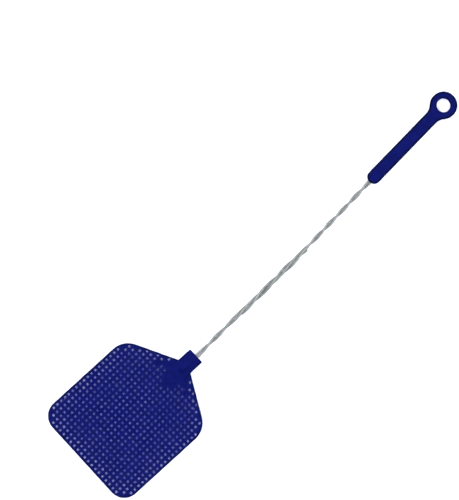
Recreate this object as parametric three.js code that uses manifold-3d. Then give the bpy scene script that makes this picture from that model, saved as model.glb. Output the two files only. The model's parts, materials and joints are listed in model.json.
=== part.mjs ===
// Fly swatter: a moulded mesh paddle on a twisted wire stem with a moulded hanging handle.
// Millimetres, +Z up. It hangs from its eye: the origin is the middle of the eye hole, the grip,
// stem and paddle hang down -Z, and the paddle's face looks along -Y.
//
// Every piece is drawn in its front view, x to the right, y up and z towards the viewer.

import * as THREE from 'three';
import { mergeGeometries, mergeVertices } from 'three/addons/utils/BufferGeometryUtils.js';
import Module from 'manifold-3d';

const wasm = await Module();
wasm.setup();

const DEGREE = Math.PI / 180;

// The moulded handle: a flat grip with a round eye at its top end.
const HANDLE = {
  eyeRadius: 12.8,
  eyeHoleRadius: 6.35,
  eyeFillet: 12,
  gripHalfWidth: 6.5,
  gripEnd: 98.2,
  thickness: 7,
  edgeRound: 2.2,
  edgeSteps: 3,
  pocketDepth: 34,
};

// The stem: one galvanised wire with a hairpin inside the handle and another inside the collar.
// Its two free ends overlap in the middle of the stem, where three strands lie together.
// Places along the stem are distances below the grip's end.
const WIRE = {
  diameter: 2.3,
  sides: 8,
  stepLength: 3.2,
  hairpinSteps: 6,
  pairRadius: 1.22,
  outerRadius: 1.9,
  outerAngle: 110 * DEGREE,
  handleHairpin: -29.6,
  paddleHairpin: 240.6,
  lowerFreeEnd: 169,
  upperFreeEnd: 84.6,
  joinLength: 20,
  twistStart: 1.2,
};

// How far each half turn of the twist runs, and how many there are, from the handle to the paddle.
const TWIST = [
  { halfTurn: 17.03, count: 4.5 },
  { halfTurn: 29.57, count: 3 },
  { halfTurn: 21.7, count: 2.5 },
];
const TWIST_BLEND = 4;

// Sideways set of the stem's middle line, to the left, at equal spacing along the stem.
const STEM_SET = { first: -45, spacing: 45, left: [0, 0, -0.3, -0.6, 0.1, 1.7, 2.7, 5.5] };
const STEM_MOUTH_BLEND = 10;

// The moulded paddle. Its own origin is the middle of the collar's mouth, with the blade below.
const PADDLE = {
  mouthDrop: 225.5,
  mouthLeft: 3.2,
  turn: 3.58 * DEGREE,
  halfWidth: 56.2,
  length: 142.2,
  farRadius: 15.6,
  nearRadius: 20.7,
  shoulderAngle: 62.2 * DEGREE,
  bladeThickness: 1.4,
  rimWidth: 1.6,
  rimThickness: 2,
  rimBevel: 0.4,
};
const COLLAR = {
  halfWidth: 8.25,
  length: 14.7,
  runOut: 12.5,
  thickness: 3.4,
  bossHalfWidth: 4.4,
  bossHalfThickness: 3.1,
  bossLength: 22.7,
  bossNose: 5,
  bossRight: 0.5,
  pocketDepth: 19,
};
const POCKET = { width: 5.4, thickness: 3.1, overrun: 2 };
const GATE = { drop: 31, ringRadius: 4.9, ringWidth: 1, ringThickness: 2, pipRadius: 0.9, pipHeight: 0.45 };
const GUSSET = { angle: 43 * DEGREE, startX: 5, startY: -16, length: 21, width: 1.8, thickness: 2.2 };
const MESH = {
  rows: 23,
  rowPitch: 4.8,
  columnPitch: 4.71,
  farMargin: 3.4,
  holeFront: 2.3,
  holeBack: 2,
  smallestPart: 1.9,
  gateClear: 9.3,
  neckDepth: 27,
  neckHalfWidth: 12,
  gussetClear: 1.7,
};

const ARC_STEP = 9 * DEGREE;
const BOSS_SIDES = 20;
const WELD = 1e-4;

function arc(x, y, radius, from, to) {
  const steps = Math.ceil(Math.abs(to - from) / ARC_STEP);
  const points = [];
  for (let i = 0; i <= steps; i += 1) {
    const angle = from + (to - from) * i / steps;
    points.push(new THREE.Vector2(x + radius * Math.cos(angle), y + radius * Math.sin(angle)));
  }
  return points;
}

function plate(shape, thickness, bevel = 0, bevelSteps = 1) {
  const depth = thickness - 2 * bevel;
  const geometry = new THREE.ExtrudeGeometry(shape, {
    depth,
    bevelEnabled: bevel > 0,
    bevelThickness: bevel,
    bevelSize: bevel,
    bevelOffset: -bevel,
    bevelSegments: bevelSteps,
  });
  geometry.translate(0, 0, -depth / 2);
  return geometry;
}

function solidOf(geometry) {
  const bare = geometry.clone();
  bare.deleteAttribute('normal');
  bare.deleteAttribute('uv');
  const welded = mergeVertices(bare, WELD);
  return new wasm.Manifold(new wasm.Mesh({
    numProp: 3,
    vertProperties: new Float32Array(welded.attributes.position.array),
    triVerts: new Uint32Array(welded.index.array),
  }));
}

function geometryOf(solid) {
  const { vertProperties, triVerts } = solid.getMesh();
  const geometry = new THREE.BufferGeometry();
  geometry.setAttribute('position', new THREE.BufferAttribute(vertProperties, 3));
  geometry.setIndex(new THREE.BufferAttribute(triVerts, 1));
  geometry.computeVertexNormals();
  return geometry;
}

// A slot that takes the flat end of the wire, open at its mouth, which is at y and opens downwards
// for a direction of -1 and upwards for 1.
function pocket(x, y, depth, direction) {
  const length = depth + POCKET.overrun;
  const box = new THREE.BoxGeometry(POCKET.width, length, POCKET.thickness);
  box.translate(x, y + direction * (POCKET.overrun - length / 2), 0);
  return solidOf(box);
}

function handleShape() {
  const { eyeRadius, eyeFillet, gripHalfWidth, gripEnd, eyeHoleRadius } = HANDLE;
  const filletX = gripHalfWidth + eyeFillet;
  const filletY = -Math.sqrt((eyeRadius + eyeFillet) ** 2 - filletX ** 2);
  const lean = Math.atan2(-filletY, filletX);
  const shape = new THREE.Shape([
    ...arc(0, gripHalfWidth - gripEnd, gripHalfWidth, Math.PI, 2 * Math.PI),
    ...arc(filletX, filletY, eyeFillet, Math.PI, Math.PI - lean),
    ...arc(0, 0, eyeRadius, -lean, Math.PI + lean).slice(1, -1),
    ...arc(-filletX, filletY, eyeFillet, lean, 0),
  ]);
  shape.holes.push(new THREE.Path(arc(0, 0, eyeHoleRadius, 0, 2 * Math.PI).slice(0, -1)));
  return shape;
}

function handleGeometry() {
  const body = solidOf(plate(handleShape(), HANDLE.thickness, HANDLE.edgeRound, HANDLE.edgeSteps));
  return geometryOf(body.subtract(pocket(0, -HANDLE.gripEnd, HANDLE.pocketDepth, -1)));
}

// Angle turned by the twist at a place along the stem, without and with the gradual change of lay.
function sharpTwist(place) {
  let angle = 0;
  let start = WIRE.twistStart;
  for (const { halfTurn, count } of TWIST) {
    const run = Math.min(Math.max(place - start, 0), halfTurn * count);
    angle += Math.PI * run / halfTurn;
    start += halfTurn * count;
  }
  return angle;
}

function twist(place) {
  const offsets = [-1, -0.5, 0, 0.5, 1];
  const total = offsets.reduce((sum, offset) => sum + sharpTwist(place + offset * TWIST_BLEND), 0);
  return total / offsets.length;
}

const stemSet = new THREE.SplineCurve(
  STEM_SET.left.map((left, i) => new THREE.Vector2(STEM_SET.first + i * STEM_SET.spacing, left)),
);

function stemLeft(place) {
  const span = STEM_SET.spacing * (STEM_SET.left.length - 1);
  const along = THREE.MathUtils.clamp((place - STEM_SET.first) / span, 0, 1);
  const pocketLine = PADDLE.mouthLeft - COLLAR.bossRight
    + Math.tan(PADDLE.turn) * (place - PADDLE.mouthDrop);
  const inPocket = THREE.MathUtils.smoothstep(place, PADDLE.mouthDrop - STEM_MOUTH_BLEND, PADDLE.mouthDrop);
  return THREE.MathUtils.lerp(stemSet.getPoint(along).y, pocketLine, inPocket);
}

// A point of a strand: its middle's distance from the stem's middle line, its angle round it
// before the twist, and its place along it.
function strandPoint(place, radius, angle) {
  const turned = twist(place) + angle;
  return new THREE.Vector3(
    radius * Math.cos(turned) - stemLeft(place),
    -HANDLE.gripEnd - place,
    -radius * Math.sin(turned),
  );
}

function throughStrand(place) {
  return strandPoint(place, WIRE.pairRadius, 0);
}

// The two strands with free ends lie opposite the through strand, and move round it to one side
// each, and out, where all three lie together.
function sideStrand(place, together, side) {
  const radius = THREE.MathUtils.lerp(WIRE.pairRadius, WIRE.outerRadius, together);
  const angle = THREE.MathUtils.lerp(Math.PI, WIRE.outerAngle, together);
  return strandPoint(place, radius, side * angle);
}

function lowerStrand(place) {
  const middle = WIRE.upperFreeEnd;
  const half = WIRE.joinLength / 2;
  return sideStrand(place, THREE.MathUtils.smoothstep(place, middle - half, middle + half), 1);
}

function upperStrand(place) {
  const middle = WIRE.lowerFreeEnd;
  const half = WIRE.joinLength / 2;
  return sideStrand(place, 1 - THREE.MathUtils.smoothstep(place, middle - half, middle + half), -1);
}

// A flat half circle that joins the two strands of a pair. It bulges up for -1 and down for 1.
function hairpinPoint(place, bulge, share) {
  const angle = Math.PI * share;
  const across = bulge * WIRE.pairRadius * Math.cos(angle);
  const out = place + bulge * WIRE.pairRadius * Math.sin(angle);
  return new THREE.Vector3(across - stemLeft(out), -HANDLE.gripEnd - out, 0);
}

// The wire's middle line as a run of stretches. Each has its own number of steps, so that the
// hairpins get short steps and the long strands long ones.
class WirePath extends THREE.Curve {
  constructor() {
    super();
    const leg = (strand, from, to) => ({
      steps: Math.ceil(Math.abs(to - from) / WIRE.stepLength),
      pointAt: (share) => strand(from + (to - from) * share),
    });
    const { lowerFreeEnd, handleHairpin, paddleHairpin, upperFreeEnd, hairpinSteps } = WIRE;
    this.stretches = [
      leg(lowerStrand, lowerFreeEnd, handleHairpin),
      { steps: hairpinSteps, pointAt: (share) => hairpinPoint(handleHairpin, -1, share) },
      leg(throughStrand, handleHairpin, paddleHairpin),
      { steps: hairpinSteps, pointAt: (share) => hairpinPoint(paddleHairpin, 1, share) },
      leg(upperStrand, paddleHairpin, upperFreeEnd),
    ];
    this.steps = this.stretches.reduce((sum, stretch) => sum + stretch.steps, 0);
  }

  getPoint(t) {
    let step = t * this.steps;
    for (const { steps, pointAt } of this.stretches) {
      if (step <= steps) return pointAt(step / steps);
      step -= steps;
    }
    return this.stretches.at(-1).pointAt(1);
  }

  getUtoTmapping(u) {
    return u;
  }
}

function wireGeometry() {
  const section = [];
  for (let i = 0; i < WIRE.sides; i += 1) {
    const angle = 2 * Math.PI * i / WIRE.sides;
    const radius = WIRE.diameter / 2;
    section.push(new THREE.Vector2(radius * Math.cos(angle), radius * Math.sin(angle)));
  }
  const extrudePath = new WirePath();
  return new THREE.ExtrudeGeometry(new THREE.Shape(section), { steps: extrudePath.steps, extrudePath });
}

// The blade's outline drawn in by inset. Both shoulders run on to a point inside the collar.
const shoulderOut = new THREE.Vector2(Math.cos(PADDLE.shoulderAngle), Math.sin(PADDLE.shoulderAngle));
const shoulderReach = shoulderOut.dot(new THREE.Vector2(COLLAR.halfWidth, -COLLAR.length));
const nearX = PADDLE.halfWidth - PADDLE.nearRadius;
const nearY = (shoulderReach - PADDLE.nearRadius - shoulderOut.x * nearX) / shoulderOut.y;
const farX = PADDLE.halfWidth - PADDLE.farRadius;
const farY = PADDLE.farRadius - PADDLE.length;

function bladeOutline(inset) {
  const right = [
    ...arc(nearX, nearY, PADDLE.nearRadius - inset, PADDLE.shoulderAngle, 0),
    ...arc(farX, farY, PADDLE.farRadius - inset, 0, -Math.PI / 2),
  ];
  const left = right.map((point) => new THREE.Vector2(-point.x, point.y));
  const tip = new THREE.Vector2(0, (shoulderReach - inset) / shoulderOut.y);
  return [tip, ...left, ...right.reverse()];
}

// How far a point of the blade lies inside its outline.
function edgeDistance(x, y) {
  const across = Math.abs(x);
  const nearAngle = Math.atan2(y - nearY, across - nearX);
  if (across > nearX && nearAngle > 0 && nearAngle < PADDLE.shoulderAngle) {
    return PADDLE.nearRadius - Math.hypot(across - nearX, y - nearY);
  }
  if (across > farX && y < farY) {
    return PADDLE.farRadius - Math.hypot(across - farX, y - farY);
  }
  const shoulder = shoulderReach - shoulderOut.x * across - shoulderOut.y * y;
  return Math.min(PADDLE.halfWidth - across, PADDLE.length + y, shoulder);
}

function gussetDistance(x, y) {
  const alongX = Math.abs(x) - GUSSET.startX;
  const alongY = GUSSET.startY - y;
  const along = alongX * Math.sin(GUSSET.angle) + alongY * Math.cos(GUSSET.angle);
  const aside = alongX * Math.cos(GUSSET.angle) - alongY * Math.sin(GUSSET.angle);
  const past = Math.max(along - GUSSET.length, 0);
  return Math.hypot(aside, past);
}

function holeIsOpen(x, y) {
  if (edgeDistance(x, y) < MESH.smallestPart) return false;
  if (Math.hypot(x, y + GATE.drop) < MESH.gateClear) return false;
  if (-y < MESH.neckDepth && Math.abs(x) < MESH.neckHalfWidth) return false;
  return gussetDistance(x, y) > MESH.gussetClear;
}

// Every hole is a small square peg, a little wider at the front face, as a mould pin is.
function holePegs() {
  const height = 2 * PADDLE.bladeThickness;
  const slope = (MESH.holeFront - MESH.holeBack) / PADDLE.bladeThickness;
  const middle = (MESH.holeFront + MESH.holeBack) / 2;
  const front = (middle + slope * height / 2) * Math.SQRT1_2;
  const back = (middle - slope * height / 2) * Math.SQRT1_2;
  const peg = new THREE.CylinderGeometry(front, back, height, 4, 1);
  peg.rotateY(Math.PI / 4);
  peg.rotateX(Math.PI / 2);
  const pegs = [];
  const columns = Math.floor(PADDLE.length / MESH.columnPitch);
  for (let column = 0; column < columns; column += 1) {
    const y = MESH.farMargin - PADDLE.length + column * MESH.columnPitch;
    for (let row = 0; row < MESH.rows; row += 1) {
      const x = (row - (MESH.rows - 1) / 2) * MESH.rowPitch;
      if (holeIsOpen(x, y)) pegs.push(peg.clone().translate(x, y, 0));
    }
  }
  const window = plate(new THREE.Shape(bladeOutline(PADDLE.rimWidth)), 2 * height);
  return solidOf(mergeGeometries(pegs)).intersect(solidOf(window));
}

function rim() {
  const shape = new THREE.Shape(bladeOutline(0));
  shape.holes.push(new THREE.Path(bladeOutline(PADDLE.rimWidth)));
  return solidOf(plate(shape, PADDLE.rimThickness, PADDLE.rimBevel));
}

// The flat collar, which runs out into the blade's faces below the shoulders.
function collar() {
  const half = COLLAR.thickness / 2;
  const thin = PADDLE.bladeThickness / 2 - PADDLE.rimBevel / 2;
  const end = -COLLAR.length - COLLAR.runOut;
  const side = new THREE.Shape([
    new THREE.Vector2(0, -half),
    new THREE.Vector2(0, half),
    new THREE.Vector2(-COLLAR.length, half),
    new THREE.Vector2(end, thin),
    new THREE.Vector2(end, -thin),
    new THREE.Vector2(-COLLAR.length, -half),
  ]);
  const geometry = plate(side, 2 * COLLAR.halfWidth, PADDLE.rimBevel);
  geometry.applyMatrix4(new THREE.Matrix4().makeBasis(
    new THREE.Vector3(0, 1, 0),
    new THREE.Vector3(0, 0, 1),
    new THREE.Vector3(1, 0, 0),
  ));
  return solidOf(geometry);
}

// The round-nosed boss that the wire's hairpin sits in.
function boss() {
  const { bossHalfWidth, bossHalfThickness, bossLength, bossNose, bossRight } = COLLAR;
  const profile = [new THREE.Vector2(0, -bossLength)];
  const noseSteps = 5;
  for (let i = 1; i <= noseSteps; i += 1) {
    const angle = Math.PI / 2 * i / noseSteps;
    profile.push(new THREE.Vector2(
      bossHalfWidth * Math.sin(angle),
      bossNose - bossLength - bossNose * Math.cos(angle),
    ));
  }
  profile.push(new THREE.Vector2(bossHalfWidth, 0), new THREE.Vector2(0, 0));
  const geometry = new THREE.LatheGeometry(profile, BOSS_SIDES);
  geometry.scale(1, 1, bossHalfThickness / bossHalfWidth);
  geometry.translate(bossRight, 0, 0);
  return solidOf(geometry);
}

function gateRing() {
  const { ringRadius, ringWidth, ringThickness, drop } = GATE;
  const half = ringThickness / 2;
  const inner = ringRadius - ringWidth;
  const section = [
    new THREE.Vector2(inner, -half),
    new THREE.Vector2(ringRadius, -half),
    new THREE.Vector2(ringRadius, half),
    new THREE.Vector2(inner, half),
    new THREE.Vector2(inner, -half),
  ];
  const geometry = new THREE.LatheGeometry(section, BOSS_SIDES);
  geometry.rotateX(Math.PI / 2);
  geometry.translate(0, -drop, 0);
  return solidOf(geometry);
}

function gatePip() {
  const height = PADDLE.bladeThickness / 2 + GATE.pipHeight;
  const geometry = new THREE.CylinderGeometry(GATE.pipRadius, GATE.pipRadius, height, BOSS_SIDES / 2);
  geometry.rotateX(Math.PI / 2);
  geometry.translate(0, -GATE.drop, height / 2);
  return solidOf(geometry);
}

function gusset(side) {
  const { angle, startX, startY, length, width, thickness } = GUSSET;
  const geometry = new THREE.BoxGeometry(width, length, thickness);
  geometry.translate(0, -length / 2, 0);
  geometry.rotateZ(side * angle);
  geometry.translate(side * startX, startY, 0);
  return solidOf(geometry);
}

function paddleGeometry() {
  const { bladeThickness, rimWidth } = PADDLE;
  const blade = solidOf(plate(new THREE.Shape(bladeOutline(rimWidth / 2)), bladeThickness));
  const moulding = blade
    .subtract(holePegs())
    .add(rim())
    .add(collar())
    .add(boss())
    .add(gateRing())
    .add(gatePip())
    .add(gusset(-1))
    .add(gusset(1));
  return geometryOf(moulding.subtract(pocket(COLLAR.bossRight, 0, COLLAR.pocketDepth, 1)));
}

function bluePlastic() {
  return new THREE.MeshStandardMaterial({ color: 0x13198a, roughness: 0.5, metalness: 0 });
}

function galvanisedWire() {
  return new THREE.MeshStandardMaterial({ color: 0xaab2ae, roughness: 0.5, metalness: 1 });
}

function part(name, geometry, material) {
  const mesh = new THREE.Mesh(geometry, material);
  mesh.name = name;
  return mesh;
}

const paddleSeat = new THREE.Group();
paddleSeat.position.set(-PADDLE.mouthLeft, -HANDLE.gripEnd - PADDLE.mouthDrop, 0);
paddleSeat.rotation.z = -PADDLE.turn;
paddleSeat.add(part('paddle', paddleGeometry(), bluePlastic()));

const flySwatter = new THREE.Group();
flySwatter.rotation.x = Math.PI / 2;
flySwatter.add(part('handle', handleGeometry(), bluePlastic()));
flySwatter.add(part('wire_stem', wireGeometry(), galvanisedWire()));
flySwatter.add(paddleSeat);

export default flySwatter;
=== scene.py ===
# Fly swatter: a moulded mesh paddle on a twisted wire stem, with a moulded handle to hang it by.
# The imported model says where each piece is. A piece is shaped in millimetres in its own front
# view, x to the right, y up and z towards the viewer, and is then put in its place in metres.
import json
import math

import bmesh
import bpy
import numpy as np
from mathutils import Matrix, Vector
from mathutils.geometry import delaunay_2d_cdt


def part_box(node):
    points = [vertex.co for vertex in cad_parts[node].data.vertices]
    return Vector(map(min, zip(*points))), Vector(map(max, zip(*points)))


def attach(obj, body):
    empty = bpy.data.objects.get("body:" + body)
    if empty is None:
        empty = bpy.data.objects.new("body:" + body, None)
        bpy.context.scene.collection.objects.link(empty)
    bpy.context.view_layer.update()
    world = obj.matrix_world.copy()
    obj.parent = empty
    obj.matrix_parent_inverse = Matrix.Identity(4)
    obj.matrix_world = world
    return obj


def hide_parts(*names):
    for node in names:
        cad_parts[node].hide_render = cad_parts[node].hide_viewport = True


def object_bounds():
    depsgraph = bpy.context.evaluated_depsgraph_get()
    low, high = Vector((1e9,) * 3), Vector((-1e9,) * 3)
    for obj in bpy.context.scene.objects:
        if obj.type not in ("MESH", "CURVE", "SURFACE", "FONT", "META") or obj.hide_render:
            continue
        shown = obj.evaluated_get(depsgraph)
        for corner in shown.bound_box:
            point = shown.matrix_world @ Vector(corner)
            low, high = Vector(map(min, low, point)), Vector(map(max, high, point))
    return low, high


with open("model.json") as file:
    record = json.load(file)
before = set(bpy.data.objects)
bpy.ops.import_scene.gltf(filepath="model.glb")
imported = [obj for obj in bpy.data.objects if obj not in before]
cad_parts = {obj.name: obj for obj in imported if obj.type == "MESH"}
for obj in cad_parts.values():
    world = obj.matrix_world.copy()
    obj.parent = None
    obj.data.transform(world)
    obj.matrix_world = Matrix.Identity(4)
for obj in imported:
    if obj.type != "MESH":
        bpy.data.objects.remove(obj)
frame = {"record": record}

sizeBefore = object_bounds()
scene = bpy.context.scene
mm = 0.001
degree = math.pi / 180

eyeCentre = next(np.array(mount["pos_m"]) for mount in frame["record"]["mounts"]
                 if mount["name"] == "hanging_eye") / mm
handleLow, handleHigh = (np.array(corner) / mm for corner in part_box("handle"))
paddleLow, paddleHigh = (np.array(corner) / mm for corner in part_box("paddle"))
deepInset = 99.0  # an inset with nothing to hold it back


# curves, and how heights blend
def ramp(low, high, value):
    # 0 at low, 1 at high, smooth between
    share = np.clip((np.asarray(value, float) - low) / (high - low), 0, 1)
    return share * share * (3 - 2 * share)


def filletedMax(a, b, reach):
    # the larger of two heights, with a fillet where they cross
    near = np.maximum(reach - np.abs(a - b), 0) / reach
    return np.maximum(a, b) + near * near * reach / 4


def arcRun(x, y, radius, start, end, steps, outwards=1):
    # points of an arc, each with the outline's outward way there
    angles = np.linspace(start, end, steps + 1)
    ways = np.column_stack((np.cos(angles), np.sin(angles)))
    return np.array((x, y)) + radius * ways, outwards * ways


def lineRun(start, end, way, spacing):
    # points inside a straight stretch, without its two ends
    start, end = np.array(start, float), np.array(end, float)
    steps = max(int(round(np.linalg.norm(end - start) / spacing)), 1)
    points = start + (end - start) * np.linspace(0, 1, steps + 1)[1:-1, None]
    return points, np.tile(np.array(way, float), (len(points), 1))


def roundOver(radius, steps, under):
    # a rounded edge: how far in and down, and the sideways and upright shares of its normal
    tilts = np.linspace(0, math.pi / 2, steps + 1)
    return [(under + radius * (1 - math.cos(a)), radius * (1 - math.sin(a)), math.cos(a), math.sin(a))
            for a in tilts]


def turnOutwards(mesh, isSmooth):
    # every face turned outwards, smooth or flat; returns how many edges don't close
    work = bmesh.new()
    work.from_mesh(mesh)
    bmesh.ops.recalc_face_normals(work, faces=work.faces)
    for face in work.faces:
        face.smooth = isSmooth(face)
    for edge in work.edges:
        edge.smooth = all(isSmooth(face) for face in edge.link_faces)
    openEdges = sum(not edge.is_manifold for edge in work.edges)
    work.to_mesh(mesh)
    work.free()
    return openEdges


# a moulding: two faces, rounded edges, holes, and a socket for the wire
class Moulding:
    def __init__(self, heightAt, outline, spec):
        self.heightAt = heightAt
        self.outline = outline
        self.spec = spec
        self.points = []
        self.normals = []
        self.paintedEdgeShade = []
        self.faces = []
        self.holes = {1: [], -1: []}

    # each point carries how much painted edge shade it gets
    def addLoop(self, xyz, normals, paintedEdgeShade=0.0):
        start = len(self.points)
        self.points.extend(np.asarray(xyz, float).tolist())
        self.normals.extend(np.asarray(normals, float).tolist())
        self.paintedEdgeShade.extend([paintedEdgeShade] * len(xyz))
        return list(range(start, len(self.points)))

    def upright(self, xy, side):
        # the face's own normal, from the slope of its height
        step = 0.02
        east = self.heightAt(xy + (step, 0), side) - self.heightAt(xy - (step, 0), side)
        north = self.heightAt(xy + (0, step), side) - self.heightAt(xy - (0, step), side)
        normal = np.column_stack((-east, -north, np.full(len(xy), 2 * step)))
        normal /= np.linalg.norm(normal, axis=1, keepdims=True)
        normal[:, 2] *= side
        return normal

    def onFace(self, xy, side, out=0, drop=0.0, level=0.0, rise=1.0, paintedEdgeShade=0.0):
        # a loop on a face, or on its rounded edge, where level and rise share out the normal
        normals = rise * self.upright(xy, side)
        normals[:, :2] += level * out
        z = side * (self.heightAt(xy, side) - drop)
        return self.addLoop(np.column_stack((xy, z)), normals, paintedEdgeShade)

    def bridge(self, first, second, skip=()):
        count = len(first)
        for i in range(count):
            j = (i + 1) % count
            if i not in skip:
                self.faces.append((first[i], first[j], second[j], second[i]))

    def skin(self):
        # the end wall with its parting line, and the rounded edge and border of each face
        p, n, most = self.outline["points"], self.outline["outward"], self.outline["mostInset"]
        seam = self.spec["seamRise"]
        half = self.spec["seamWidth"] / 2
        loops = {}
        for side in (1, -1):
            loops[side] = []
            for inset, drop, level, rise in roundOver(self.spec["edgeRound"], self.spec["edgeSteps"], seam):
                xy = p - np.minimum(inset, most)[:, None] * n
                # painted shade: the colour is painted darker over the rounded edge, fading out further in
                paintedEdgeShade = max(1 - inset / self.spec["paintedShadeReach"], 0)
                loops[side].append(self.onFace(xy, side, n, drop, level, rise, paintedEdgeShade))
            for inset in self.spec["rings"]:
                xy = p - np.minimum(inset, most)[:, None] * n
                # the painted edge shade fades out over these rings
                paintedEdgeShade = max(1 - inset / self.spec["paintedShadeReach"], 0)
                loops[side].append(self.onFace(xy, side, paintedEdgeShade=paintedEdgeShade))
            for first, second in zip(loops[side], loops[side][1:]):
                self.bridge(first, second)
        flat = np.column_stack((n, np.zeros(len(n))))
        wall = [self.addLoop(np.column_stack((p - inset * n, np.full(len(p), z))), flat)
                for z, inset in ((half, seam), (0, 0), (-half, seam))]
        front, back = loops[1][0], loops[-1][0]
        slot = self.outline["slot"]
        for first, second in zip([front] + wall, wall + [back]):
            self.bridge(first, second, skip=range(slot[0], slot[1]))
        self.openSlot(front, wall, back)
        self.borders = {side: loops[side][-1] for side in (1, -1)}

    def openSlot(self, front, wall, back):
        # the wire's slot in the end wall, with round ends, and its walls inwards
        first, last = self.outline["slot"]
        p, n = self.outline["points"], self.outline["outward"]
        inner = np.arange(first + 1, last)
        reach = self.spec["slotWidth"] / 2
        thick = self.spec["slotThickness"] / 2
        past = np.maximum(np.abs(p[inner, 0] - self.spec["slotRight"]) - (reach - thick), 0)
        z = np.sqrt(np.maximum(thick * thick - past * past, 0))
        xy = p[inner] - self.spec["seamRise"] * n[inner]
        flat = np.column_stack((n[inner], np.zeros(len(inner))))
        top = [wall[1][first]] + self.addLoop(np.column_stack((xy, z)), flat) + [wall[1][last]]
        low = [wall[1][first]] + self.addLoop(np.column_stack((xy, -z)), flat) + [wall[1][last]]
        for edgeLoop, seamLoop, rim in ((front, wall[0], top), (back, wall[2], low)):
            for at in range(first, last):
                i = at - first
                face = [edgeLoop[at], edgeLoop[at + 1], rim[i + 1], rim[i]]
                if at == first:
                    face.append(seamLoop[at])
                if at == last - 1:
                    face.insert(2, seamLoop[at + 1])
                self.faces.append(tuple(face))
        rim = top + low[-2:0:-1]
        rimPoints = np.array([self.points[i] for i in rim])
        middle = rimPoints.mean(axis=0)
        inwards = middle - rimPoints
        inwards[:, 1] = 0
        inwards /= np.linalg.norm(inwards, axis=1, keepdims=True)
        depth, lip = self.spec["slotDepth"], self.spec["slotLip"]
        into = np.array((0, math.copysign(1, depth), 0))
        deep = rimPoints + lip * inwards
        deep[:, 1] = middle[1] + depth
        mouthLoop = self.addLoop(rimPoints + lip * (inwards + into), inwards - 0.5 * into)
        deepLoop = self.addLoop(deep, inwards)
        self.bridge(rim, mouthLoop)
        self.bridge(mouthLoop, deepLoop)
        self.faces.append(tuple(deepLoop))

    def addHole(self, loopAt, lipSteps):
        # a hole right through. loopAt(side, inset) gives a loop and its outward ways.
        walls = {}
        for side in (1, -1):
            loops = []
            for inset, drop, level, rise in lipSteps:
                xy, ways = loopAt(side, inset)
                # painted shade: the lip is painted darker as far as its normal turns sideways
                loops.append(self.onFace(xy, side, -ways, drop, level, rise, level))
            for first, second in zip(loops, loops[1:]):
                self.bridge(first, second)
            walls[side] = loops[0]
            self.holes[side].append(loops[-1])
        self.bridge(walls[1], walls[-1])

    def fill(self, side, innerXy):
        # triangles over one face, from its border inwards and around its holes
        inner = self.onFace(innerXy, side) if len(innerXy) else []
        indices, owner, edges = [], [], []
        for number, loop in enumerate([self.borders[side]] + self.holes[side]):
            at = len(indices)
            edges += [(at + i, at + (i + 1) % len(loop)) for i in range(len(loop))]
            owner += [number] * len(loop)
            indices += loop
        owner += [0] * len(inner)
        indices += inner
        flat = [Vector(self.points[i][:2]) for i in indices]
        insideOnly, tolerance = 1, 1e-5
        _, _, triangles, origins, _, _ = delaunay_2d_cdt(flat, edges, [], insideOnly, tolerance)
        for triangle in triangles:
            local = [origins[i][0] for i in triangle]
            inHole = owner[local[0]] > 0 and len({owner[i] for i in local}) == 1
            if not inHole:
                self.faces.append(tuple(indices[i] for i in local))

    def build(self, name, place):
        # the parting line's points inside the slot's mouth belong to no face
        used = sorted({i for face in self.faces for i in face})
        renumbered = {old: new for new, old in enumerate(used)}
        mesh = bpy.data.meshes.new(name)
        mesh.from_pydata([place(self.points[i]) for i in used], [],
                         [tuple(renumbered[i] for i in face) for face in self.faces])
        openEdges = turnOutwards(mesh, lambda face: True)
        mesh.update()
        # the painted edge shade goes to the material as a point attribute
        paintedEdgeShade = mesh.attributes.new("paintedEdgeShade", "FLOAT", "POINT")
        paintedEdgeShade.data.foreach_set("value", [self.paintedEdgeShade[i] for i in used])
        origin = np.array(place((0, 0, 0)))
        normals = np.array([place(self.normals[i]) for i in used]) - origin
        normals /= np.linalg.norm(normals, axis=1, keepdims=True)
        mesh.normals_split_custom_set_from_vertices(normals.tolist())
        print(f"{name}: {len(mesh.polygons)} faces, {openEdges} open edges")
        return mesh


def joinRuns(runs):
    points = np.concatenate([run[0] for run in runs])
    ways = np.concatenate([run[1] for run in runs])
    return points, ways


def addPiece(name, mesh, material, node):
    piece = bpy.data.objects.new(name, mesh)
    scene.collection.objects.link(piece)
    mesh.materials.append(material)
    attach(piece, "root")
    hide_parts(node)


# helpers for the materials
def linear(hexColour):
    channels = [int(hexColour[i:i + 2], 16) / 255 for i in (1, 3, 5)]
    return tuple(c / 12.92 if c <= 0.04045 else ((c + 0.055) / 1.055) ** 2.4 for c in channels) + (1.0,)


def addNode(tree, kind, settings, links):
    # settings are the node's own properties; links are a value or an output for each input
    node = tree.nodes.new(kind)
    for key, value in settings.items():
        setattr(node, key, value)
    for key, value in links.items():
        if isinstance(value, bpy.types.NodeSocket):
            tree.links.new(value, node.inputs[key])
        else:
            node.inputs[key].default_value = value
    return node


def newMaterial(name):
    material = bpy.data.materials.new(name)
    material.use_nodes = True
    material.node_tree.nodes.clear()
    return material, material.node_tree


# Low density polyethylene, injection moulded and coloured through with a deep ultramarine pigment.
# The mould's fine texture keeps it satin, and a waxy bloom lies on it in soft patches. Painted shade:
# the rounded edges and the lips of the holes are given a darker blue.
polyethylene = {
    "deep": "#03073a",
    "pale": "#050a45",
    # painted shade: the darker blue painted on the rounded edges and hole lips
    "edge": "#010420",
    "ior": 1.51,
    "specular": 0.015,
    "roughness": 0.48,
    "roughnessSpread": 0.1,
    "grainSize": 0.35,
    "flowSize": 7.0,
    "grainBump": 0.012,
    "flowBump": 0.05,
}


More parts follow.
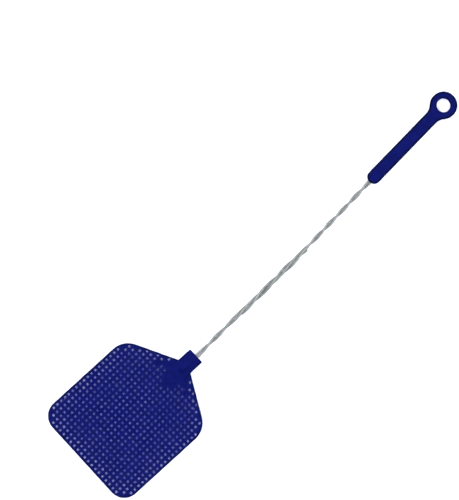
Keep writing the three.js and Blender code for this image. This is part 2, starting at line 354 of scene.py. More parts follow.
def mouldedPolyethylene():
    spec = polyethylene
    material, tree = newMaterial("moulded_polyethylene_blue")
    place = addNode(tree, "ShaderNodeTexCoord", {}, {}).outputs["Object"]
    flow = addNode(tree, "ShaderNodeTexNoise", {}, {
        "Vector": place, "Scale": 1 / (spec["flowSize"] * mm), "Detail": 4.0, "Roughness": 0.55,
        "Distortion": 0.6})
    grain = addNode(tree, "ShaderNodeTexNoise", {}, {
        "Vector": place, "Scale": 1 / (spec["grainSize"] * mm), "Detail": 2.0, "Roughness": 0.6})
    # painted shade: this attribute mixes the darker blue in towards the outline and round the holes
    edge = addNode(tree, "ShaderNodeAttribute", {"attribute_name": "paintedEdgeShade"}, {})
    patches = addNode(tree, "ShaderNodeMapRange", {"interpolation_type": "SMOOTHSTEP"}, {
        "Value": flow.outputs["Fac"], "From Min": 0.3, "From Max": 0.7, "To Min": 0.0, "To Max": 1.0})
    body = addNode(tree, "ShaderNodeMix", {"data_type": "RGBA"}, {
        0: patches.outputs["Result"], 6: linear(spec["deep"]), 7: linear(spec["pale"])})
    turned = addNode(tree, "ShaderNodeMapRange", {"interpolation_type": "SMOOTHSTEP"}, {
        "Value": edge.outputs["Fac"], "From Min": 0.1, "From Max": 0.6, "To Min": 0.0, "To Max": 1.0})
    coloured = addNode(tree, "ShaderNodeMix", {"data_type": "RGBA"}, {
        0: turned.outputs["Result"], 6: body.outputs[2], 7: linear(spec["edge"])})
    dull = addNode(tree, "ShaderNodeMapRange", {}, {
        "Value": grain.outputs["Fac"], "From Min": 0.3, "From Max": 0.7,
        "To Min": spec["roughness"] - spec["roughnessSpread"] / 2,
        "To Max": spec["roughness"] + spec["roughnessSpread"] / 2})
    wave = addNode(tree, "ShaderNodeBump", {}, {
        "Height": flow.outputs["Fac"], "Strength": 1.0, "Distance": spec["flowBump"] * mm})
    texture = addNode(tree, "ShaderNodeBump", {}, {
        "Height": grain.outputs["Fac"], "Strength": 1.0, "Distance": spec["grainBump"] * mm,
        "Normal": wave.outputs["Normal"]})
    shader = addNode(tree, "ShaderNodeBsdfPrincipled", {}, {
        "Base Color": coloured.outputs[2], "Roughness": dull.outputs["Result"], "IOR": spec["ior"],
        "Specular IOR Level": spec["specular"], "Normal": texture.outputs["Normal"]})
    addNode(tree, "ShaderNodeOutputMaterial", {}, {"Surface": shader.outputs["BSDF"]})
    return material


# Galvanised steel wire, drawn and then dipped in zinc. The die leaves fine lines along the wire,
# and the zinc cools to a dull pale grey in soft patches, with a faint green cast.
galvanisedWire = {
    "zinc": "#7b7f7d",
    "dull": "#6a6e6c",
    "line": "#515553",
    "metallic": 0.85,
    "roughness": 0.6,
    "roughnessSpread": 0.2,
    "lineWidth": 0.12,
    "lineLength": 9.0,
    "patchSize": 1.6,
    "lineBump": 0.006,
}


def galvanised():
    spec = galvanisedWire
    material, tree = newMaterial("galvanised_steel_wire")
    strand = addNode(tree, "ShaderNodeAttribute", {"attribute_name": "strand"}, {})
    # the die's lines are drawn a little coarser than they are, so that they show
    stretch = addNode(tree, "ShaderNodeVectorMath", {"operation": "MULTIPLY"}, {
        0: strand.outputs["Vector"],
        1: (1 / spec["lineWidth"], 1 / spec["lineWidth"], 1 / spec["lineLength"])})
    lines = addNode(tree, "ShaderNodeTexNoise", {}, {
        "Vector": stretch.outputs["Vector"], "Scale": 1.0, "Detail": 2.0, "Roughness": 0.5})
    patches = addNode(tree, "ShaderNodeTexNoise", {}, {
        "Vector": strand.outputs["Vector"], "Scale": 1 / spec["patchSize"], "Detail": 3.0, "Roughness": 0.6})
    cool = addNode(tree, "ShaderNodeMapRange", {"interpolation_type": "SMOOTHSTEP"}, {
        "Value": patches.outputs["Fac"], "From Min": 0.35, "From Max": 0.65, "To Min": 0.0, "To Max": 1.0})
    zinc = addNode(tree, "ShaderNodeMix", {"data_type": "RGBA"}, {
        0: cool.outputs["Result"], 6: linear(spec["zinc"]), 7: linear(spec["dull"])})
    scratch = addNode(tree, "ShaderNodeMapRange", {}, {
        "Value": lines.outputs["Fac"], "From Min": 0.35, "From Max": 0.5, "To Min": 0.55, "To Max": 0.0})
    drawn = addNode(tree, "ShaderNodeMix", {"data_type": "RGBA"}, {
        0: scratch.outputs["Result"], 6: zinc.outputs[2], 7: linear(spec["line"])})
    dull = addNode(tree, "ShaderNodeMapRange", {}, {
        "Value": patches.outputs["Fac"], "From Min": 0.3, "From Max": 0.7,
        "To Min": spec["roughness"] - spec["roughnessSpread"] / 2,
        "To Max": spec["roughness"] + spec["roughnessSpread"] / 2})
    groove = addNode(tree, "ShaderNodeBump", {}, {
        "Height": lines.outputs["Fac"], "Strength": 1.0, "Distance": spec["lineBump"] * mm})
    shader = addNode(tree, "ShaderNodeBsdfPrincipled", {}, {
        "Base Color": drawn.outputs[2], "Metallic": spec["metallic"], "Roughness": dull.outputs["Result"],
        "Normal": groove.outputs["Normal"]})
    addNode(tree, "ShaderNodeOutputMaterial", {}, {"Surface": shader.outputs["BSDF"]})
    return material


bluePlastic = mouldedPolyethylene()
zincWire = galvanised()
print("materials made")

# The handle: a flat grip with a round eye at its top end. Its own origin is the middle of the eye.
handle = {
    "eyeRadius": 12.8,
    "eyeHoleRadius": 6.35,
    "eyeHoleRound": 1.4,
    "eyeFillet": 12.0,
    "edgeRound": 2.2,
    "edgeSteps": 8,
    # how far in from the outline the painted edge shade reaches
    "paintedShadeReach": 2.8,
    "rings": (),
    "seamRise": 0.06,
    "seamWidth": 0.3,
    "slotWidth": 5.1,
    "slotThickness": 2.5,
    "slotRight": 0.0,
    "slotDepth": 34.0,
    "slotLip": 0.12,
    "slotSteps": 20,
    "gripHalfWidth": 6.5,
    "innerSpacing": 2.5,
    "innerReach": 12.5,
    "innerClear": 0.6,
    "sideSpacing": 2.0,
    "arcSteps": {"end": 16, "fillet": 14, "eye": 72, "eyeHole": 64, "eyeHoleLip": 6},
}
handle["halfThickness"] = (handleHigh[1] - handleLow[1]) / 2
gripEnd = eyeCentre[2] - handleLow[2]


def handleHeight(xy, side):
    return np.full(len(xy), handle["halfThickness"])


def handleOutline():
    wide, eye, fillet = handle["gripHalfWidth"], handle["eyeRadius"], handle["eyeFillet"]
    filletX = wide + fillet
    filletY = -math.sqrt((eye + fillet) ** 2 - filletX ** 2)
    lean = math.atan2(-filletY, filletX)
    endY = wide - gripEnd
    reach = handle["slotWidth"] / 2
    slotX = -reach * np.cos(np.linspace(0, math.pi, handle["slotSteps"] + 1))
    slotWays = np.column_stack((slotX / wide, -np.sqrt(1 - (slotX / wide) ** 2)))
    slotRun = (np.array((0, endY)) + wide * slotWays, slotWays)
    slotTurn = math.asin(reach / wide)
    down = 1.5 * math.pi
    steps = handle["arcSteps"]
    left = arcRun(0, endY, wide, math.pi, down - slotTurn, steps["end"])
    right = arcRun(0, endY, wide, down + slotTurn, 2 * math.pi, steps["end"])
    runs = [
        (left[0][:-1], left[1][:-1]),
        slotRun,
        (right[0][1:], right[1][1:]),
        lineRun((wide, endY), (wide, filletY), (1, 0), handle["sideSpacing"]),
        arcRun(filletX, filletY, fillet, math.pi, math.pi - lean, steps["fillet"], -1),
        arcRun(0, 0, eye, -lean, math.pi + lean, steps["eye"]),
        arcRun(-filletX, filletY, fillet, lean, 0, steps["fillet"], -1),
        lineRun((-wide, filletY), (-wide, endY), (-1, 0), handle["sideSpacing"]),
    ]
    # the fillets and the eye share their end points
    runs[5] = tuple(part[1:-1] for part in runs[5])
    points, ways = joinRuns(runs)
    first = len(runs[0][0])
    return {"points": points, "outward": ways, "mostInset": np.full(len(points), deepInset),
            "slot": (first, first + handle["slotSteps"])}


def handleInner():
    # loose points over the flat face, so that its triangles stay even
    step, clear = handle["innerSpacing"], handle["innerClear"]
    reach = handle["innerReach"]
    x, y = np.meshgrid(np.arange(-reach, reach + 0.1, step), np.arange(-gripEnd, reach + 0.1, step))
    xy = np.column_stack((x.ravel(), y.ravel()))
    r = np.hypot(xy[:, 0], xy[:, 1])
    border = handle["edgeRound"] + handle["seamRise"] + clear
    inEye = r < handle["eyeRadius"] - border
    inGrip = (np.abs(xy[:, 0]) < handle["gripHalfWidth"] - border) & (xy[:, 1] < 0)
    fromEnd = np.hypot(xy[:, 0], xy[:, 1] - (handle["gripHalfWidth"] - gripEnd))
    pastEnd = (xy[:, 1] < handle["gripHalfWidth"] - gripEnd) & (fromEnd > handle["gripHalfWidth"] - border)
    clearOfHole = r > handle["eyeHoleRadius"] + handle["eyeHoleRound"] + clear
    return xy[(inEye | inGrip) & clearOfHole & ~pastEnd]


def eyeHole(side, inset):
    steps = handle["arcSteps"]["eyeHole"]
    points, ways = arcRun(0, 0, handle["eyeHoleRadius"] + inset, 0, 2 * math.pi, steps)
    return points[:-1], ways[:-1]


def placeHandle(p):
    x, y, z = p
    return ((eyeCentre[0] + x) * mm, (eyeCentre[1] - z) * mm, (eyeCentre[2] + y) * mm)


shape = Moulding(handleHeight, handleOutline(), handle)
shape.skin()
shape.addHole(eyeHole, roundOver(handle["eyeHoleRound"], handle["arcSteps"]["eyeHoleLip"], 0.0))
for side in (1, -1):
    shape.fill(side, handleInner())
addPiece("moulded_handle", shape.build("moulded_handle", placeHandle), bluePlastic, "handle")

# The paddle. Its own origin is the middle of the collar's mouth, and the blade hangs below.
paddle = {
    "turn": 3.58 * degree,
    "halfWidth": 56.2,
    "length": 142.2,
    "farRadius": 15.6,
    "nearRadius": 20.7,
    "shoulderAngle": 62.2 * degree,
    "bladeHalf": 0.7,
    "rimHalf": 1.0,
    "rimTop": 1.2,
    "rimFoot": 1.55,
    "collarFillet": 0.25,
    "markFillet": 0.1,
    "edgeRound": 0.45,
    "edgeSteps": 4,
    # how far in from the outline the painted edge shade reaches
    "paintedShadeReach": 1.8,
    "rings": (1.15, 1.25, 1.36, 1.48, 1.6),
    "seamRise": 0.05,
    "seamWidth": 0.24,
    "slotWidth": 5.1,
    "slotThickness": 2.8,
    "slotRight": 0.5,
    "slotDepth": -19.0,
    "slotLip": 0.12,
    "slotSteps": 20,
    "mouthInset": 0.65,
    "sideInset": 1.7,
    "mouthFrom": 1.5,
    "mouthTo": 6.0,
    "edgeSpacing": 2.4,
    "shoulderSpacing": 1.2,
    "collarSpacing": 0.4,
    "fineShoulder": 0.38,
    "cornerSteps": 18,
    "neckSpacing": 0.32,
    "neckReach": 23.0,
    "neckLength": 37.0,
    "neckClear": 0.2,
}
collar = {
    "halfWidth": 8.25,
    "length": 14.7,
    "runOut": 12.5,
    "half": 1.7,
    "recessHalf": 1.3,
    "beadFrom": 6.3,
    "beadTo": 5.8,
    "corner": 0.9,
    "fillet": 1.2,
    "bossHalfWidth": 4.4,
    "bossHalfThickness": 3.1,
    "bossLength": 22.7,
    "bossNose": 5.0,
}
gate = {"drop": 31.0, "ringRadius": 4.9, "ringWidth": 1.0, "ringHalf": 1.0, "pipRadius": 0.9, "pipHalf": 1.15}
gusset = {"angle": 43 * degree, "startX": 5.0, "startY": -16.0, "length": 21.0, "halfWidth": 0.9, "half": 1.1}
holes = {
    "rows": 23,
    "rowPitch": 4.8,
    "columnPitch": 4.71,
    "farMargin": 3.4,
    "front": 2.3,
    "back": 2.0,
    "corner": 0.3,
    "lip": 0.12,
    "lipDrop": 0.1,
    "rimClear": 1.85,
    "smallestPart": 1.9,
    "shortestSide": 0.4,
    "gateClear": 9.3,
    "neckDepth": 27.0,
    "neckHalfWidth": 12.0,
    "gussetClear": 1.7,
}
shoulderOut = np.array((math.cos(paddle["shoulderAngle"]), math.sin(paddle["shoulderAngle"])))
shoulderReach = shoulderOut @ (collar["halfWidth"], -collar["length"])
nearX = paddle["halfWidth"] - paddle["nearRadius"]
nearY = (shoulderReach - paddle["nearRadius"] - shoulderOut[0] * nearX) / shoulderOut[1]
farX = paddle["halfWidth"] - paddle["farRadius"]
farY = paddle["farRadius"] - paddle["length"]


def bladeDistance(x, y):
    # how far a point lies inside the blade's outline, the collar left out
    across = np.abs(x)
    shoulder = shoulderReach - shoulderOut[0] * across - shoulderOut[1] * y
    inside = np.minimum(np.minimum(paddle["halfWidth"] - across, paddle["length"] + y), shoulder)
    turn = np.arctan2(y - nearY, across - nearX)
    nearCorner = (across > nearX) & (turn > 0) & (turn < paddle["shoulderAngle"])
    inside = np.where(nearCorner, paddle["nearRadius"] - np.hypot(across - nearX, y - nearY), inside)
    farCorner = (across > farX) & (y < farY)
    return np.where(farCorner, paddle["farRadius"] - np.hypot(across - farX, y - farY), inside)


def edgeDistance(x, y):
    # the same for the whole paddle, with its collar
    inCollar = np.minimum(collar["halfWidth"] - np.abs(x), -y)
    return np.maximum(bladeDistance(x, y), np.where(y > -collar["length"], inCollar, -deepInset))


def gussetDistance(x, y):
    alongX = np.abs(x) - gusset["startX"]
    alongY = gusset["startY"] - y
    along = alongX * math.sin(gusset["angle"]) + alongY * math.cos(gusset["angle"])
    aside = alongX * math.cos(gusset["angle"]) - alongY * math.sin(gusset["angle"])
    past = np.maximum(np.maximum(along - gusset["length"], -along), 0)
    return np.hypot(aside, past)


def paddleHeight(xy, side):
    x, y = xy[:, 0], xy[:, 1]
    blade = paddle["bladeHalf"]
    rim = 1 - ramp(paddle["rimTop"], paddle["rimFoot"], edgeDistance(x, y))
    height = blade + (paddle["rimHalf"] - blade) * rim
    # the collar's flat, with a bead along each side, runs out into the blade
    across = np.abs(x)
    runOut = np.clip((-y - collar["length"]) / collar["runOut"], 0, 1)
    bead = ramp(collar["beadTo"], collar["beadFrom"], across)
    flat = collar["recessHalf"] + (collar["half"] - collar["recessHalf"]) * bead
    flat = flat + (blade - 0.2 - flat) * runOut
    # the round-nosed boss over the wire's hairpin
    nose = np.clip((-y - (collar["bossLength"] - collar["bossNose"])) / collar["bossNose"], 0, 1)
    around = np.minimum(np.hypot(nose, (x - paddle["slotRight"]) / collar["bossHalfWidth"]), 1)
    flat = flat + (collar["bossHalfThickness"] - flat) * np.cos(math.pi / 2 * around) ** 2
    inCollar = 1 - ramp(collar["halfWidth"] - 0.3, collar["halfWidth"] + 0.15, across)
    besideBlade = bladeDistance(x, y) > 0.1
    inCollar = np.where(besideBlade, inCollar, 1.0)
    height = filletedMax(height, inCollar * flat, paddle["collarFillet"])
    # the gate's ring, and its pip on the front
    r = np.hypot(x, y + gate["drop"])
    ringAside = np.abs(r - gate["ringRadius"] + gate["ringWidth"] / 2) - gate["ringWidth"] / 2
    ring = blade + (gate["ringHalf"] - blade) * (1 - ramp(-0.2, 0.1, ringAside))
    height = filletedMax(height, ring, paddle["markFillet"])
    stripAside = gussetDistance(x, y) - gusset["halfWidth"]
    strip = blade + (gusset["half"] - blade) * (1 - ramp(-0.25, 0.1, stripAside))
    height = filletedMax(height, strip, paddle["markFillet"])
    if side > 0:
        pip = blade + (gate["pipHalf"] - blade) * (1 - ramp(gate["pipRadius"] - 0.6, gate["pipRadius"], r))
        height = np.maximum(height, pip)
    return height


def mouthBorder(y):
    # the rings stay close to the edge round the mouth, so that they don't cross at its corners
    share = ramp(paddle["mouthFrom"], paddle["mouthTo"], -y)
    return paddle["mouthInset"] + (paddle["sideInset"] - paddle["mouthInset"]) * share


def paddleOutline():
    half, length, wide = paddle["halfWidth"], paddle["length"], collar["halfWidth"]
    fillet, corner = collar["fillet"], collar["corner"]
    filletX = wide + fillet
    filletY = (shoulderReach + fillet - shoulderOut[0] * filletX) / shoulderOut[1]
    angle = paddle["shoulderAngle"]
    coarse, fine = paddle["edgeSpacing"], paddle["collarSpacing"]
    near = arcRun(nearX, nearY, paddle["nearRadius"], 0, angle, paddle["cornerSteps"])
    inCorner = arcRun(filletX, filletY, fillet, math.pi + angle, math.pi, 8, -1)
    shoulderStart, shoulderEnd = near[0][-1], inCorner[0][0]
    neckStart = shoulderEnd + (shoulderStart - shoulderEnd) * paddle["fineShoulder"]
    rightHalf = [
        (np.array(((0.0, -length),)), np.array(((0.0, -1.0),))),
        lineRun((0, -length), (farX, -length), (0, -1), coarse),
        arcRun(farX, farY, paddle["farRadius"], -math.pi / 2, 0, paddle["cornerSteps"]),
        lineRun((half, farY), (half, nearY), (1, 0), coarse),
        near,
        lineRun(shoulderStart, neckStart, shoulderOut, paddle["shoulderSpacing"]),
        (neckStart[None, :], shoulderOut[None, :]),
        lineRun(neckStart, shoulderEnd, shoulderOut, fine),
        inCorner,
        lineRun((wide, filletY), (wide, -corner), (1, 0), fine),
        arcRun(wide - corner, -corner, corner, 0, math.pi / 2, 8),
    ]
    points, ways = joinRuns(rightHalf)
    mirror = np.array((-1.0, 1.0))
    reach = paddle["slotWidth"] / 2
    slotX = paddle["slotRight"] + reach * np.cos(np.linspace(0, math.pi, paddle["slotSteps"] + 1))
    slotRun = (np.column_stack((slotX, np.zeros(len(slotX)))), np.tile((0.0, 1.0), (len(slotX), 1)))
    mouthRight = lineRun((wide - corner, 0), (slotX[0], 0), (0, 1), fine)
    mouthLeft = lineRun((slotX[-1], 0), (corner - wide, 0), (0, 1), fine)
    first = len(points) + len(mouthRight[0])
    points, ways = joinRuns([(points, ways), mouthRight, slotRun, mouthLeft,
                             ((points * mirror)[:0:-1], (ways * mirror)[:0:-1])])
    most = np.where(-points[:, 1] < paddle["mouthTo"], mouthBorder(points[:, 1]), deepInset)
    return {"points": points, "outward": ways, "mostInset": most,
            "slot": (first, first + paddle["slotSteps"])}


def holeSides(x, y):
    # a hole's sides as unit ways out and distances from its middle, in order round it, with the
    # rim's line as one more side where it cuts the hole
    half = holes["front"] / 2
    sides = [(turn * math.pi / 2, half) for turn in range(4)]
    step = 0.05
    slope = np.array((edgeDistance(x - step, y) - edgeDistance(x + step, y),
                      edgeDistance(x, y - step) - edgeDistance(x, y + step)))
    rimAngle = math.atan2(slope[1], slope[0]) % (2 * math.pi)
    rimAway = float(edgeDistance(x, y)) - holes["rimClear"]
    reach = half * (abs(math.cos(rimAngle)) + abs(math.sin(rimAngle)))
    if rimAway < reach - 0.05:
        sides.append((rimAngle, rimAway))
    sides.sort()
    while True:
        ends = cornersOf(sides, 0.0)
        lengths = np.linalg.norm(np.roll(ends, -1, axis=0) - ends, axis=1)
        # a side is turned round where its two corners have changed places
        along = np.roll(ends, -1, axis=0) - ends
        ways = np.array([(-math.sin(a), math.cos(a)) for a, _ in sides])
        lengths = lengths * np.sign((along * ways).sum(axis=1))
        if lengths.min() >= holes["shortestSide"] or len(sides) == 3:
            return sides, lengths
        del sides[int(lengths.argmin())]


def cornersOf(sides, inset):
    # corner i lies between side i - 1 and side i
    corners = []
    for i, (angle, away) in enumerate(sides):
        before, beforeAway = sides[i - 1]
        rows = np.array(((math.cos(before), math.sin(before)), (math.cos(angle), math.sin(angle))))
        corners.append(np.linalg.solve(rows, (beforeAway + inset, away + inset)))
    return np.array(corners)


def meshHole(x, y):
    sides, lengths = holeSides(x, y)
    taper = (holes["front"] - holes["back"]) / 2
    rounding = np.minimum(np.minimum(lengths, np.roll(lengths, 1)) * 0.35, holes["corner"])[:, None]
    ways = np.array([(math.cos(a), math.sin(a)) for a, _ in sides])
    before = np.roll(ways, 1, axis=0)
    along = np.column_stack((-ways[:, 1], ways[:, 0]))
    alongBefore = np.roll(along, 1, axis=0)

    def loopAt(side, inset):
        corners = cornersOf(sides, inset - (taper if side < 0 else 0.0)) + (x, y)
        points = np.stack((corners - rounding * alongBefore,
                           corners + 0.25 * rounding * (along - alongBefore),
                           corners + rounding * along), axis=1)
        out = np.stack((before, (before + ways) / np.linalg.norm(before + ways, axis=1, keepdims=True), ways),
                       axis=1)
        return points.reshape(-1, 2), out.reshape(-1, 2)

    return loopAt


def holeCentres():
    columns = int(paddle["length"] // holes["columnPitch"])
    x = (np.arange(holes["rows"]) - (holes["rows"] - 1) / 2) * holes["rowPitch"]
    y = holes["farMargin"] - paddle["length"] + np.arange(columns) * holes["columnPitch"]
    x, y = (axis.ravel() for axis in np.meshgrid(x, y))
    inMesh = bladeDistance(x, y) >= holes["smallestPart"]
    inMesh &= np.hypot(x, y + gate["drop"]) >= holes["gateClear"]
    inMesh &= ~((-y < holes["neckDepth"]) & (np.abs(x) < holes["neckHalfWidth"]))
    inMesh &= gussetDistance(x, y) > holes["gussetClear"]
    return np.column_stack((x, y))[inMesh]


def neckPoints(centres):
    # a fine grid over the collar, the boss, the gate and the gussets, clear of borders and holes
    step, clear = paddle["neckSpacing"], paddle["neckClear"]
    reach, length = paddle["neckReach"], paddle["neckLength"]
    x, y = np.meshgrid(np.arange(-reach, reach + 0.01, step), np.arange(-length, -0.8, step))
    x, y = x.ravel(), y.ravel()
    fine = (np.abs(x) < collar["halfWidth"] + 0.95) | (gussetDistance(x, y) < gusset["halfWidth"] + 0.9)
    inCollar = np.minimum(collar["halfWidth"] - np.abs(x), -y)
    inMouth = inCollar > mouthBorder(y) + clear
    inBlade = bladeDistance(x, y) > paddle["rings"][-1] + clear
    inside = inBlade | (inMouth & (y > -collar["length"]))
    x, y = x[fine & inside], y[fine & inside]
    holeReach = holes["front"] / 2 + holes["lip"] + clear
    for hole in centres[(np.abs(centres[:, 0]) < reach + 2) & (centres[:, 1] > -length - 2)]:
        away = np.maximum(np.abs(x - hole[0]), np.abs(y - hole[1])) > holeReach
        x, y = x[away], y[away]
    return np.column_stack((x, y))


paddleLine = paddleOutline()
turnCos, turnSin = math.cos(paddle["turn"]), math.sin(paddle["turn"])
turnedLine = paddleLine["points"] @ np.array(((turnCos, -turnSin), (turnSin, turnCos)))
lineMiddle = (turnedLine.min(axis=0) + turnedLine.max(axis=0)) / 2
boxMiddle = (paddleLow + paddleHigh) / 2
paddleAt = np.array((boxMiddle[0] - lineMiddle[0], boxMiddle[1], boxMiddle[2] - lineMiddle[1]))


def placePaddle(p):
    x, y, z = p
    return ((paddleAt[0] + x * turnCos + y * turnSin) * mm, (paddleAt[1] - z) * mm,
            (paddleAt[2] - x * turnSin + y * turnCos) * mm)


centres = holeCentres()
lipSteps = ((0.0, holes["lipDrop"], 0.8, 0.6), (holes["lip"], 0.0, 0.0, 1.0))
shape = Moulding(paddleHeight, paddleLine, paddle)
shape.skin()
for centre in centres:
    shape.addHole(meshHole(*centre), lipSteps)
neck = neckPoints(centres)
for side in (1, -1):
    shape.fill(side, neck)
print(f"paddle: {len(centres)} holes, {len(neck)} neck points a side")
addPiece("mesh_paddle", shape.build("mesh_paddle", placePaddle), bluePlastic, "paddle")

# One wire: two long strands joined by a hairpin at each end, twisted together, with both free
# ends lying in the middle of the stem. Places are distances below the end of the grip.
wire = {
    "radius": 1.15,
    "sides": 16,
    "step": 0.8,
    "hairpinSteps": 14,
    "pairRadius": 1.22,
    "outerRadius": 1.9,
    "outerAngle": 110 * degree,
    "handleHairpin": -29.6,
    "paddleHairpin": 240.6,
    "lowerFreeEnd": 169.0,
    "upperFreeEnd": 84.6,
    "joinLength": 20.0,
    "twistStart": 1.2,
    "twist": ((17.03, 4.5), (29.57, 3), (21.7, 2.5)),
    "twistBlend": 4.0,
    "setFirst": -45.0,
    "setSpacing": 45.0,
    "setLeft": (0, 0, -0.3, -0.6, 0.1, 1.7, 2.7, 5.5),
    "mouthDrop": 225.5,
    "mouthLeft": 3.2,
    "mouthBlend": 10.0,
    "endChamfer": 0.2,
}


def sharpTwist(place):
    # each stretch of the twist is the length of a half turn, and how many it has
    angle, start = 0.0, wire["twistStart"]
    for halfTurn, count in wire["twist"]:
        angle += math.pi * min(max(place - start, 0), halfTurn * count) / halfTurn
        start += halfTurn * count
    return angle


def twistAt(place):
    return sum(sharpTwist(place + share * wire["twistBlend"]) for share in (-1, -0.5, 0, 0.5, 1)) / 5


def stemLeft(place):
    # the stem's sideways set, on a smooth curve through equally spaced places, then into the socket
    left = wire["setLeft"]
    along = min(max((place - wire["setFirst"]) / wire["setSpacing"], 0), len(left) - 1 - 1e-9)
    i = int(along)
    t = along - i
    a, b, c, d = (left[min(max(k, 0), len(left) - 1)] for k in (i - 1, i, i + 1, i + 2))
    # an end has no neighbour, so the curve runs straight on there
    a = a if i > 0 else 2 * b - c
    d = d if i + 2 < len(left) else 2 * c - b
    curve = b + t * ((c - a) / 2 + t * (a - 2.5 * b + 2 * c - d / 2 + t * (1.5 * (b - c) + (d - a) / 2)))
    socket = wire["mouthLeft"] - paddle["slotRight"] + math.tan(paddle["turn"]) * (place - wire["mouthDrop"])
    share = float(ramp(wire["mouthDrop"] - wire["mouthBlend"], wire["mouthDrop"], place))
    return curve + (socket - curve) * share


def strandPoint(place, radius, angle):
    turned = twistAt(place) + angle
    return (radius * math.cos(turned) - stemLeft(place), -gripEnd - place, -radius * math.sin(turned))


def throughStrand(place):
    return strandPoint(place, wire["pairRadius"], 0)


def sideStrand(place, together, side):
    # opposite the through strand, or round to one side and out where three strands lie together
    radius = wire["pairRadius"] + (wire["outerRadius"] - wire["pairRadius"]) * together
    angle = math.pi + (wire["outerAngle"] - math.pi) * together
    return strandPoint(place, radius, side * angle)


def joining(place, middle):
    return float(ramp(middle - wire["joinLength"] / 2, middle + wire["joinLength"] / 2, place))


def lowerStrand(place):
    return sideStrand(place, joining(place, wire["upperFreeEnd"]), 1)


def upperStrand(place):
    return sideStrand(place, 1 - joining(place, wire["lowerFreeEnd"]), -1)


def hairpin(place, bulge):
    # a flat half circle that joins the two strands of a pair, up for -1 and down for 1
    points = []
    for angle in np.linspace(0, math.pi, wire["hairpinSteps"] + 1)[1:-1]:
        out = place + bulge * wire["pairRadius"] * math.sin(angle)
        points.append((bulge * wire["pairRadius"] * math.cos(angle) - stemLeft(out), -gripEnd - out, 0.0))
    return points


def strand(pointAt, start, end):
    steps = int(math.ceil(abs(end - start) / wire["step"]))
    return [pointAt(place) for place in np.linspace(start, end, steps + 1)]


def wireLine():
    return np.array(
        strand(lowerStrand, wire["lowerFreeEnd"], wire["handleHairpin"])
        + hairpin(wire["handleHairpin"], -1)
        + strand(throughStrand, wire["handleHairpin"], wire["paddleHairpin"])
        + hairpin(wire["paddleHairpin"], 1)
        + strand(upperStrand, wire["paddleHairpin"], wire["upperFreeEnd"]))


def sweptWire(name):
    line = wireLine()
    tangent = np.gradient(line, axis=0)
    tangent /= np.linalg.norm(tangent, axis=1, keepdims=True)
    along = np.concatenate(((0,), np.cumsum(np.linalg.norm(np.diff(line, axis=0), axis=1))))
    # the cut ends are chamfered: each end has a smaller ring just past the last full one
    chamfer = wire["endChamfer"]
    rings = [(line[0], wire["radius"] - chamfer, 0)]
    rings += [(line[i], wire["radius"], i) for i in range(len(line))]
    rings += [(line[-1], wire["radius"] - chamfer, len(line) - 1)]
    rings[1] = (line[0] + chamfer * tangent[0], wire["radius"], 0)
    rings[-2] = (line[-1] - chamfer * tangent[-1], wire["radius"], len(line) - 1)
    sideways = np.array((0.0, 0.0, 1.0))
    turns = np.linspace(0, 2 * math.pi, wire["sides"], endpoint=False)
    points, strandPlace = [], []
    for middle, radius, i in rings:
        # the section is carried along without turning about the wire
        sideways = sideways - (sideways @ tangent[i]) * tangent[i]
        sideways /= np.linalg.norm(sideways)
        upwards = np.cross(tangent[i], sideways)
        for turn in turns:
            points.append(middle + radius * (math.cos(turn) * sideways + math.sin(turn) * upwards))
            strandPlace.append((radius * math.cos(turn), radius * math.sin(turn), along[i]))
    count = wire["sides"]
    faces = [tuple(range(count)), tuple(range(len(points) - count, len(points)))]
    for ring in range(len(rings) - 1):
        for i in range(count):
            j = (i + 1) % count
            at, past = ring * count, (ring + 1) * count
            faces.append((at + i, at + j, past + j, past + i))
    mesh = bpy.data.meshes.new(name)
    mesh.from_pydata([placeHandle(p) for p in points], [], faces)
    # the sides are smooth, and the cut ends are flat
    openEdges = turnOutwards(mesh, lambda face: len(face.verts) == 4)
    place = mesh.attributes.new("strand", "FLOAT_VECTOR", "POINT")
    place.data.foreach_set("vector", np.array(strandPlace).ravel())
    print(f"{name}: {len(mesh.polygons)} faces, {openEdges} open edges, {along[-1]:.0f} mm of wire")
    return mesh


addPiece("twisted_wire_stem", sweptWire("twisted_wire_stem"), zincWire, "wire_stem")

# The swatter hangs just in front of a pale surface, square to the camera, which is turned about
# its own axis so that the swatter lies across the frame. Sizes are in millimetres.
studio = {
    "roll": 44.07 * degree,
    "distance": 3000.0,
    "frameHeight": 460.0,
    "aimRight": -32.2,
    "aimUp": 24.4,
    "sensor": 36.0,
    "white": 1.0,
    "ambient": 0.12,
    "floorGap": 0.5,
    "floorHalf": 900.0,
    "floorPaper": "#e2e4fb",
    # painted light: the floor's faint blue glowing, painted blue light under the blade
    "floorPaintedBlueLight": "#121d69",
    "softboxes": (
        # azimuth, elevation, distance, size, power
        (-32, 4, 1600, 500, 24),
        (31, 0, 1600, 500, 19),
        (3, 32, 1600, 500, 17),
        (-3, -31, 1600, 500, 16),
        (-76, 2, 1600, 500, 11),
        (76, 2, 1600, 500, 10),
        (0, 76, 1600, 500, 10),
        (0, -76, 1600, 500, 10),
        (142, 22, 1600, 800, 40),
        (-142, 22, 1600, 800, 40),
    ),
}
low, high = sizeBefore
middle = (low + high) / 2


def addCamera():
    data = bpy.data.cameras.new("camera")
    data.sensor_width = studio["sensor"]
    data.lens = studio["sensor"] * studio["distance"] / studio["frameHeight"]
    cameraObject = bpy.data.objects.new("camera", data)
    right = Vector((math.cos(studio["roll"]), 0, math.sin(studio["roll"])))
    up = Vector((-math.sin(studio["roll"]), 0, math.cos(studio["roll"])))
    back = Vector((0, -1, 0))
    at = middle + (studio["aimRight"] * right + studio["aimUp"] * up + studio["distance"] * back) * mm
    turned = Matrix((right, up, back)).transposed()
    cameraObject.matrix_world = Matrix.Translation(at) @ turned.to_4x4()
    scene.collection.objects.link(cameraObject)
    scene.camera = cameraObject


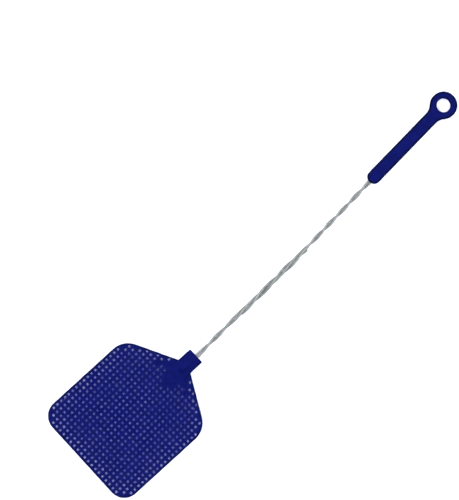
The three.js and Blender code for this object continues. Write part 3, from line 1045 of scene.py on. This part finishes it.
def addSoftboxes():
    for number, (azimuth, elevation, distance, size, power) in enumerate(studio["softboxes"]):
        data = bpy.data.lights.new(f"softbox_{number}", "AREA")
        data.shape = "SQUARE"
        data.size = size * mm
        data.energy = power
        a, e = azimuth * degree, elevation * degree
        way = Vector((math.sin(a) * math.cos(e), -math.cos(a) * math.cos(e), math.sin(e)))
        box = bpy.data.objects.new(f"softbox_{number}", data)
        box.matrix_world = (Matrix.Translation(middle + way * distance * mm)
                            @ way.to_track_quat("Z", "Y").to_matrix().to_4x4())
        scene.collection.objects.link(box)


def addWorld():
    # white to look at, and soft as a light, with a dark flag round the camera so that the flat
    # faces, which mirror it, keep their deep colour
    world = bpy.data.worlds.new("white_cove")
    scene.world = world
    world.use_nodes = True
    tree = world.node_tree
    tree.nodes.clear()
    ray = addNode(tree, "ShaderNodeLightPath", {}, {})
    cove = addNode(tree, "ShaderNodeBackground", {}, {"Color": (1, 1, 1, 1), "Strength": studio["white"]})
    way = addNode(tree, "ShaderNodeTexCoord", {}, {})
    toCamera = addNode(tree, "ShaderNodeVectorMath", {"operation": "DOT_PRODUCT"}, {
        0: way.outputs["Generated"], 1: (0, -1, 0)})
    flag = addNode(tree, "ShaderNodeMapRange", {"interpolation_type": "SMOOTHSTEP"}, {
        "Value": toCamera.outputs["Value"], "From Min": 0.45, "From Max": 0.9,
        "To Min": studio["ambient"], "To Max": studio["ambient"] * 0.1})
    soft = addNode(tree, "ShaderNodeBackground", {}, {
        "Color": (1, 1, 1, 1), "Strength": flag.outputs["Result"]})
    both = addNode(tree, "ShaderNodeMixShader", {}, {
        0: ray.outputs["Is Camera Ray"], 1: soft.outputs["Background"], 2: cove.outputs["Background"]})
    addNode(tree, "ShaderNodeOutputWorld", {}, {"Surface": both.outputs["Shader"]})


def addFloor():
    # seen from the front only, so that the swatter's back can be looked at through it
    half = studio["floorHalf"] * mm
    behind = high.y + studio["floorGap"] * mm
    square = ((-1, -1), (1, -1), (1, 1), (-1, 1))
    corners = [(x * half + middle.x, behind, z * half + middle.z) for x, z in square]
    mesh = bpy.data.meshes.new("studio_floor")
    mesh.from_pydata(corners, [], [(0, 1, 2, 3)])
    floor = bpy.data.objects.new("studio_floor", mesh)
    material, tree = newMaterial("pale_floor")
    facing = addNode(tree, "ShaderNodeNewGeometry", {}, {})
    # painted light: the floor glows faintly blue all over, painted blue light that shows only where the blade
    # shades it
    paper = addNode(tree, "ShaderNodeBsdfDiffuse", {}, {"Color": linear(studio["floorPaper"])})
    paintedBlueLight = addNode(tree, "ShaderNodeEmission", {}, {"Color": linear(studio["floorPaintedBlueLight"])})
    lit = addNode(tree, "ShaderNodeAddShader", {}, {0: paper.outputs["BSDF"], 1: paintedBlueLight.outputs["Emission"]})
    clear = addNode(tree, "ShaderNodeBsdfTransparent", {}, {})
    oneWay = addNode(tree, "ShaderNodeMixShader", {}, {
        0: facing.outputs["Backfacing"], 1: lit.outputs["Shader"], 2: clear.outputs["BSDF"]})
    addNode(tree, "ShaderNodeOutputMaterial", {}, {"Surface": oneWay.outputs["Shader"]})
    mesh.materials.append(material)
    scene.collection.objects.link(floor)
    floor.visible_diffuse = False
    floor.visible_glossy = False
    floor.visible_transmission = False
    floor.visible_shadow = False


addCamera()
addSoftboxes()
addWorld()
addFloor()
scene.view_settings.view_transform = "Standard"
scene.view_settings.look = "None"
print("studio made")
